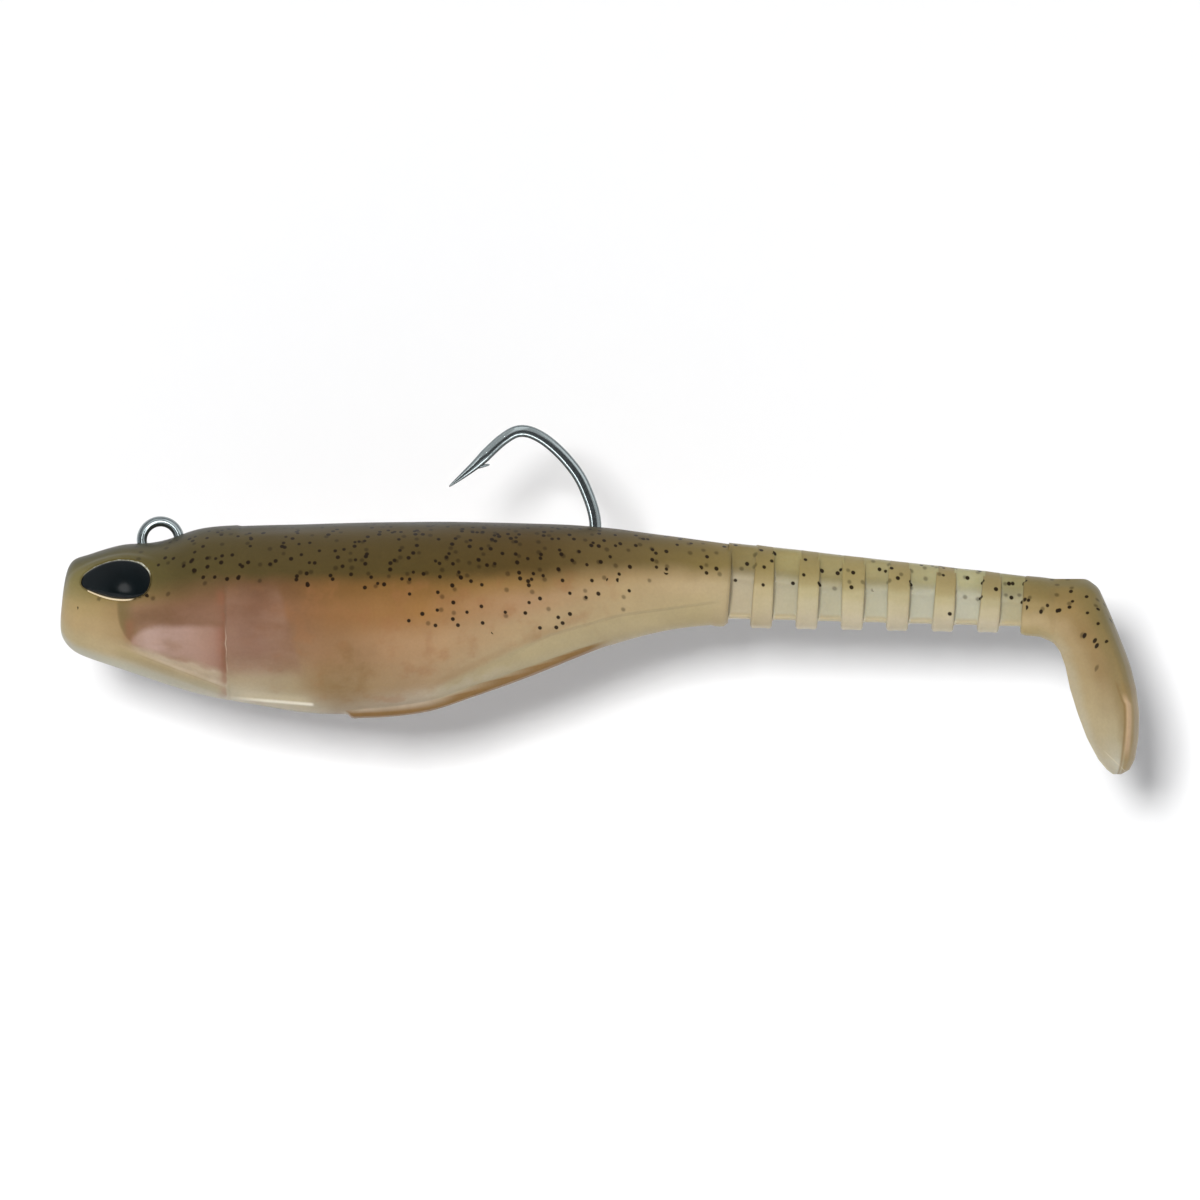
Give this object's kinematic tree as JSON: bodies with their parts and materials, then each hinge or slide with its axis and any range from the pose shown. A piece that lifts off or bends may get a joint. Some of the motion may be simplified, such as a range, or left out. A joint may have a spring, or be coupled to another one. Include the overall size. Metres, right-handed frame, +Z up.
{
  "type": "swimbait",
  "caption": "Soft-plastic swimbait on a lead-weighted jig hook, with a ribbed tail that bends from side to side and a wedge paddle.",
  "frame": {"origin": "centre of the line-tie ring on top of the head", "axes": "+X from the ring towards the tail, along the lure; +Z up through the back; +Y across the lure, out of the fish's right side"},
  "size_m": [0.1404, 0.0192, 0.0454],
  "materials": {
    "body_plastic": "satin",
    "tail_plastic": "satin",
    "paddle_plastic": "satin",
    "hook_steel": "polished",
    "lead": "matte",
    "eye_resin": "gloss",
    "eye_foil": "satin"
  },
  "bodies": {
    "front_body": {"body_moulding": "body_plastic", "lead_ballast": "lead", "jig_hook": "hook_steel", "eye_dome_left": "eye_resin", "eye_dome_right": "eye_resin", "eye_foil_left": "eye_foil", "eye_foil_right": "eye_foil"},
    "rib_1": {"tail_rib_1": "tail_plastic"},
    "rib_2": {"tail_rib_2": "tail_plastic"},
    "rib_3": {"tail_rib_3": "tail_plastic"},
    "rib_4": {"tail_rib_4": "tail_plastic"},
    "rib_5": {"tail_rib_5": "tail_plastic"},
    "rib_6": {"tail_rib_6": "tail_plastic"},
    "boot": {"tail_boot": "tail_plastic"},
    "paddle": {"paddle": "paddle_plastic"}
  },
  "joints": [
    {"name": "tail_bend_1", "type": "hinge", "parent": "front_body", "child": "rib_1", "pos_m": [0.07535, 0, -0.00532], "axis": [0, 0, 1], "range_deg": [-12, 12], "stiffness_Nm_per_rad": 0.0025},
    {"name": "tail_bend_2", "type": "hinge", "parent": "rib_1", "child": "rib_2", "pos_m": [0.08125, 0, -0.00575], "axis": [0, 0, 1], "range_deg": [-12, 12], "stiffness_Nm_per_rad": 0.00223},
    {"name": "tail_bend_3", "type": "hinge", "parent": "rib_2", "child": "rib_3", "pos_m": [0.08715, 0, -0.00617], "axis": [0, 0, 1], "range_deg": [-12, 12], "stiffness_Nm_per_rad": 0.00197},
    {"name": "tail_bend_4", "type": "hinge", "parent": "rib_3", "child": "rib_4", "pos_m": [0.09305, 0, -0.00659], "axis": [0, 0, 1], "range_deg": [-12, 12], "stiffness_Nm_per_rad": 0.0017},
    {"name": "tail_bend_5", "type": "hinge", "parent": "rib_4", "child": "rib_5", "pos_m": [0.09895, 0, -0.00701], "axis": [0, 0, 1], "range_deg": [-12, 12], "stiffness_Nm_per_rad": 0.00143},
    {"name": "tail_bend_6", "type": "hinge", "parent": "rib_5", "child": "rib_6", "pos_m": [0.10485, 0, -0.00743], "axis": [0, 0, 1], "range_deg": [-12, 12], "stiffness_Nm_per_rad": 0.00117},
    {"name": "tail_bend_7", "type": "hinge", "parent": "rib_6", "child": "boot", "pos_m": [0.11075, 0, -0.00785], "axis": [0, 0, 1], "range_deg": [-12, 12], "stiffness_Nm_per_rad": 0.0009},
    {"name": "paddle_twist", "type": "hinge", "parent": "boot", "child": "paddle", "pos_m": [0.11605, 0, -0.0086], "axis": [1, 0, 0], "range_deg": [-15, 15], "stiffness_Nm_per_rad": 0.0005}
  ]
}
